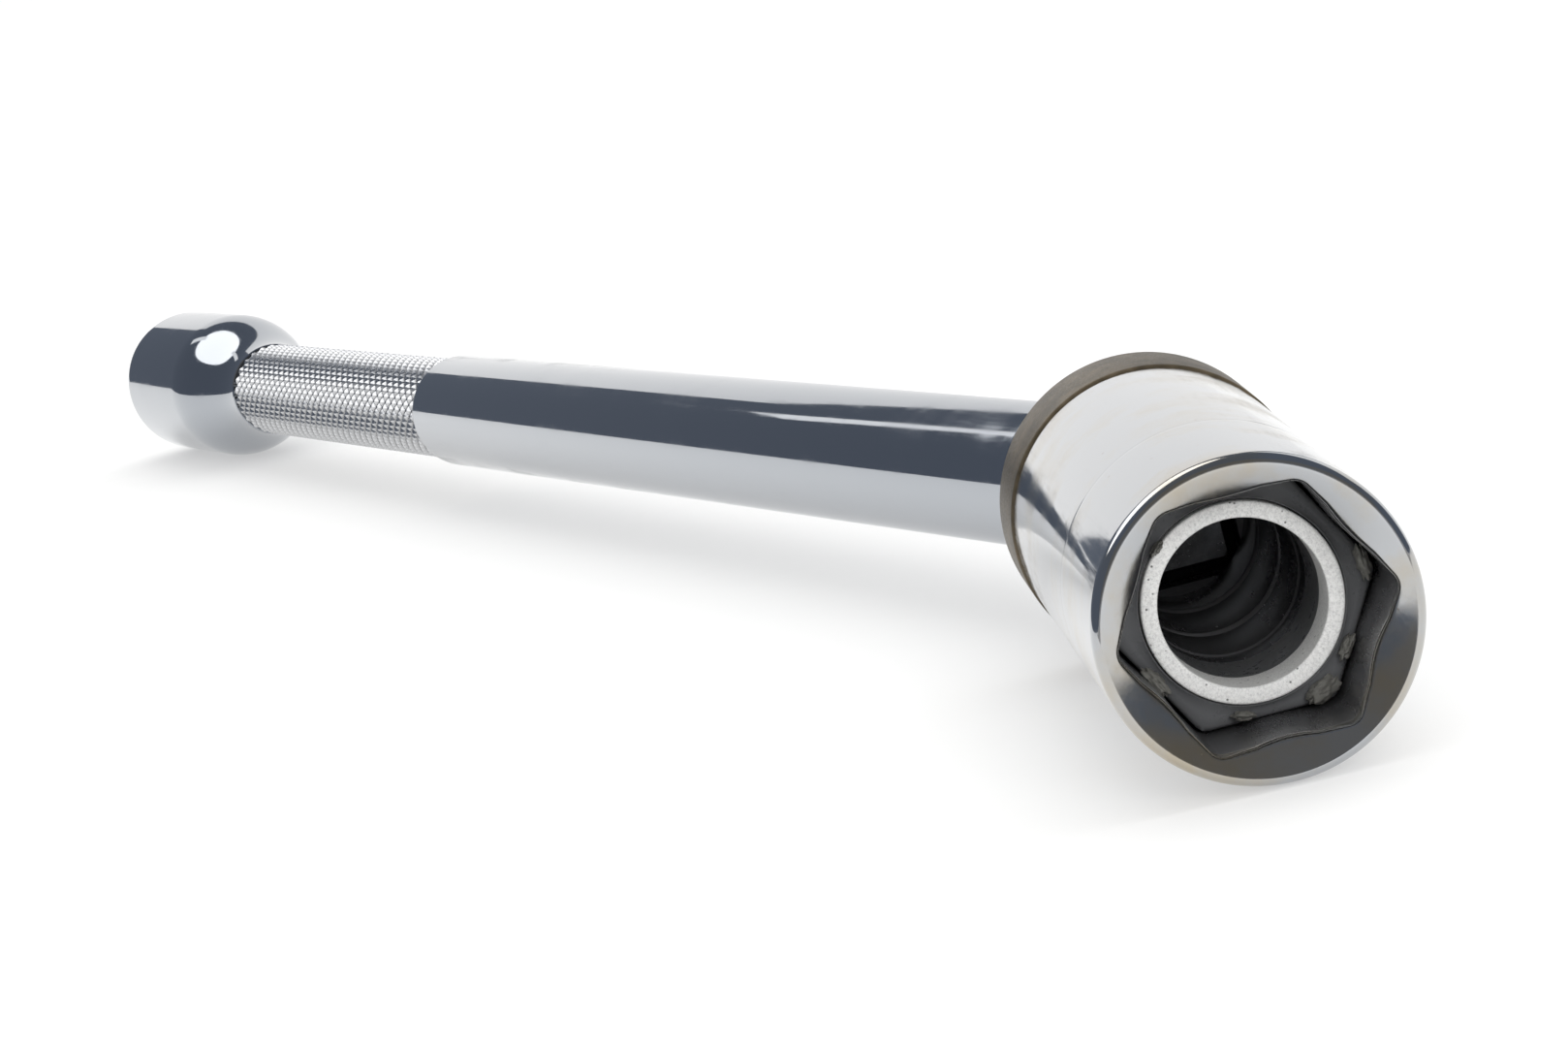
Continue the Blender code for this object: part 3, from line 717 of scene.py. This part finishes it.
def makeCard(c):
    # a flat glowing card that faces the tool
    deselectAll()
    if c.get("rounded"):
        bpy.ops.mesh.primitive_circle_add(vertices=64, radius=0.5, fill_type="NGON", location=(0, 0, 0))
    else:
        bpy.ops.mesh.primitive_plane_add(size=1, location=(0, 0, 0))
    card = bpy.context.object
    card.name = c["name"]
    away = directionAt(c["azimuth"], c["elevation"])
    turn = (-away).to_track_quat("Z", "Y").to_matrix().to_4x4()
    card.matrix_world = (Matrix.Translation(pivotPoint + away * c["distance"]) @ turn
                         @ Matrix.Rotation(math.radians(c.get("roll", 0.0)), 4, "Z")
                         @ Matrix.Diagonal((*c["size"], 1, 1)))
    mat = bpy.data.materials.new(c["name"] + "Glow")
    mat.use_nodes = True
    tree = mat.node_tree
    tree.nodes.clear()
    glow = addNode(tree, "Emission", {"Color": (1, 1, 1, 1), "Strength": c["strength"]}).outputs[0]
    addNode(tree, "OutputMaterial", links={"Surface": glow})
    card.data.materials.append(mat)
    card.visible_camera = False
    card.visible_diffuse = False
    card.visible_shadow = False
    return card


def makeWorld(s):
    # white behind the tool and as soft fill, a dim room wherever metal mirrors it
    world = bpy.data.worlds.new("whiteStudio")
    bpy.context.scene.world = world
    world.use_nodes = True
    tree = world.node_tree
    tree.nodes.clear()
    room = addNode(tree, "Background", {"Color": hexColour(s["roomColour"]), "Strength": 1.0})
    fill = addNode(tree, "Background", {"Color": (1, 1, 1, 1), "Strength": s["fillStrength"]})
    white = addNode(tree, "Background", {"Color": (1, 1, 1, 1), "Strength": 1.0})
    ray = addNode(tree, "LightPath").outputs
    soft = addNode(tree, "MixShader",
                   links={0: ray["Is Diffuse Ray"], 1: room.outputs[0], 2: fill.outputs[0]})
    mixed = addNode(tree, "MixShader",
                    links={0: ray["Is Camera Ray"], 1: soft.outputs[0], 2: white.outputs[0]})
    addNode(tree, "OutputWorld", links={"Surface": mixed.outputs[0]})


makeWorld(studio)
makeFloor(studio)
for card in cards:
    makeCard(card)
frontTableShade = makeCard(tableShadeCard)
frontTableShade.matrix_world = Matrix.Translation(tableShadeCardPlace) @ Matrix.Diagonal((*tableShadeCard["size"], 1, 1))

sunData = bpy.data.lights.new("skySun", "SUN")
sunData.energy = studio["sunStrength"]
sunData.angle = math.radians(studio["sunAngle"])
sun = bpy.data.objects.new("skySun", sunData)
bpy.context.scene.collection.objects.link(sun)
sun.rotation_mode = "QUATERNION"
sun.rotation_quaternion = (-directionAt(*studio["sunFrom"])).to_track_quat("-Z", "Y")
sun.visible_glossy = False

# a small lamp that reaches into the socket's mouth
mouthLamp = dict(size=0.30, energy=2.4, azimuth=8, elevation=20, distance=0.8)
mouthData = bpy.data.lights.new("mouthFill", "AREA")
mouthData.size = mouthLamp["size"]
mouthData.energy = mouthLamp["energy"]
mouthFill = bpy.data.objects.new("mouthFill", mouthData)
bpy.context.scene.collection.objects.link(mouthFill)
toMouth = directionAt(mouthLamp["azimuth"], mouthLamp["elevation"])
mouthFill.location = headFrame @ Vector((socketBody["front"], 0, 0)) + toMouth * mouthLamp["distance"]
mouthFill.rotation_mode = "QUATERNION"
mouthFill.rotation_quaternion = (-toMouth).to_track_quat("-Z", "Y")
mouthFill.visible_glossy = False


# camera, in millimetres and degrees

cameraView = dict(place=(686.67, 8.60, 97.95), aim=(152.47, 21.17, 20.04), roll=-13.02, lens=125.85)
cameraData = bpy.data.cameras.new("viewCamera")
cameraData.lens = cameraView["lens"]
cameraData.sensor_width = 36.0
cameraData.clip_start, cameraData.clip_end = 0.01, 20.0
camera = bpy.data.objects.new("viewCamera", cameraData)
bpy.context.scene.collection.objects.link(camera)
camera.location = Vector(cameraView["place"]) * 0.001
look = Vector(cameraView["aim"]) - Vector(cameraView["place"])
camera.rotation_mode = "QUATERNION"
camera.rotation_quaternion = (look.to_track_quat("-Z", "Y")
                              @ Quaternion((0, 0, 1), math.radians(cameraView["roll"])))
bpy.context.scene.camera = camera
bpy.context.scene.view_settings.view_transform = "Standard"
print("studio and camera done")
